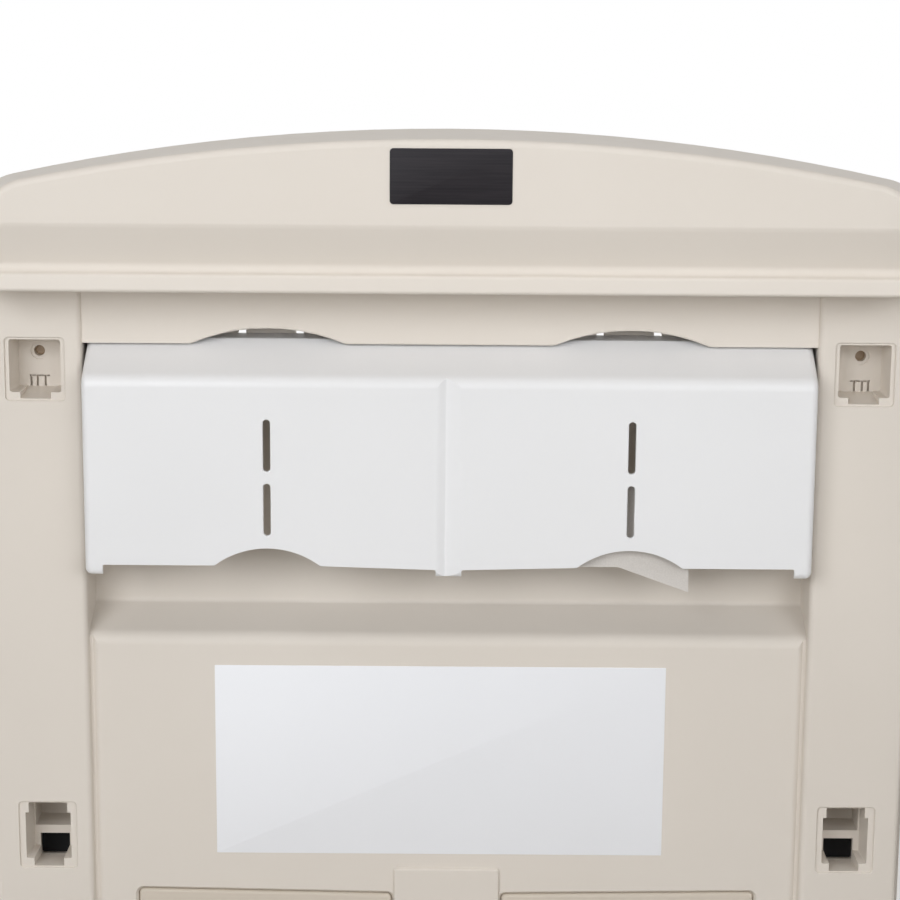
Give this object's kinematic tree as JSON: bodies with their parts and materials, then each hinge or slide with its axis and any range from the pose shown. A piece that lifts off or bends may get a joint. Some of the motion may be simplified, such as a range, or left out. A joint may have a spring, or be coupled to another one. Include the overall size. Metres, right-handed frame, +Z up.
{
  "type": "wall-mounted baby changing station",
  "caption": "Vertical fold-down baby changing station: arched beige back panel with a liner dispenser, storage bins and a hinged bed with a safety belt.",
  "frame": {"origin": "centre of the four wall fixing holes, on the wall plane", "axes": "+X to the right seen from the front, -Y out of the wall towards the user, +Z up; the bed is folded down at rest"},
  "size_m": [0.572, 0.9495, 1.0528],
  "materials": {
    "panel_plastic": "fine-textured beige polyethylene moulding",
    "bed_plastic": "fine-textured beige polyethylene moulding",
    "bin_plastic": "smooth beige moulding",
    "white_plastic": "satin white moulding",
    "zinc_steel": "zinc-plated pressed steel",
    "bright_steel": "bright turned steel",
    "nylon": "natural nylon",
    "damper_plastic": "black glass-filled plastic",
    "webbing": "woven polyester webbing",
    "buckle_plastic": "black acetal",
    "bumper_rubber": "soft rubber"
  },
  "bodies": {
    "panel": {"back_panel": "panel_plastic", "hood": "panel_plastic", "hood_screws": "bright_steel", "storage_bin_left": "bin_plastic", "storage_bin_right": "bin_plastic", "liner_dispenser": "white_plastic", "dispenser_screws": "bright_steel", "pocket_pads": "bumper_rubber", "hinge_bracket_left": "zinc_steel", "hinge_bracket_right": "zinc_steel", "hinge_bush_left": "nylon", "hinge_bush_right": "nylon", "damper_body_left": "damper_plastic", "damper_body_right": "damper_plastic"},
    "bed": {"bed_shell": "bed_plastic", "bed_tray": "bed_plastic", "tray_screws": "bright_steel", "side_rail_left": "zinc_steel", "side_rail_right": "zinc_steel", "rear_cross_tube": "zinc_steel", "hinge_arm_left": "zinc_steel", "hinge_arm_right": "zinc_steel", "hinge_shaft": "bright_steel", "shaft_clips": "bright_steel", "damper_rotor_left": "damper_plastic", "damper_rotor_right": "damper_plastic", "catch_sleeve_left": "nylon", "catch_sleeve_right": "nylon", "catch_spring_left": "bright_steel", "catch_spring_right": "bright_steel", "belt_strap_left": "webbing", "belt_strap_right": "webbing", "belt_anchor_left": "zinc_steel", "belt_anchor_right": "zinc_steel", "buckle_frame": "buckle_plastic", "buckle_pin": "bright_steel", "bed_bumpers": "bumper_rubber"},
    "buckle_lever": {"buckle_cam": "buckle_plastic"},
    "catch_left": {"catch_plunger_left": "bright_steel"},
    "catch_right": {"catch_plunger_right": "bright_steel"}
  },
  "joints": [
    {"name": "bed_fold", "type": "hinge", "parent": "panel", "child": "bed", "pos_m": [0, -0.077, -0.428], "axis": [-1, 0, 0], "range_deg": [0, 90]},
    {"name": "buckle_open", "type": "hinge", "parent": "bed", "child": "buckle_lever", "pos_m": [0.006, -0.52, -0.4238], "axis": [0, 1, 0], "range_deg": [0, 55]},
    {"name": "catch_press_left", "type": "slide", "parent": "bed", "child": "catch_left", "axis": [0, 1, 0], "range_m": [0, 0.003], "stiffness_N_per_m": 800, "springref_m": -0.004, "deforming": ["catch_spring_left"]},
    {"name": "catch_press_right", "type": "slide", "parent": "bed", "child": "catch_right", "axis": [0, 1, 0], "range_m": [0, 0.003], "stiffness_N_per_m": 800, "springref_m": -0.004, "deforming": ["catch_spring_right"]}
  ]
}
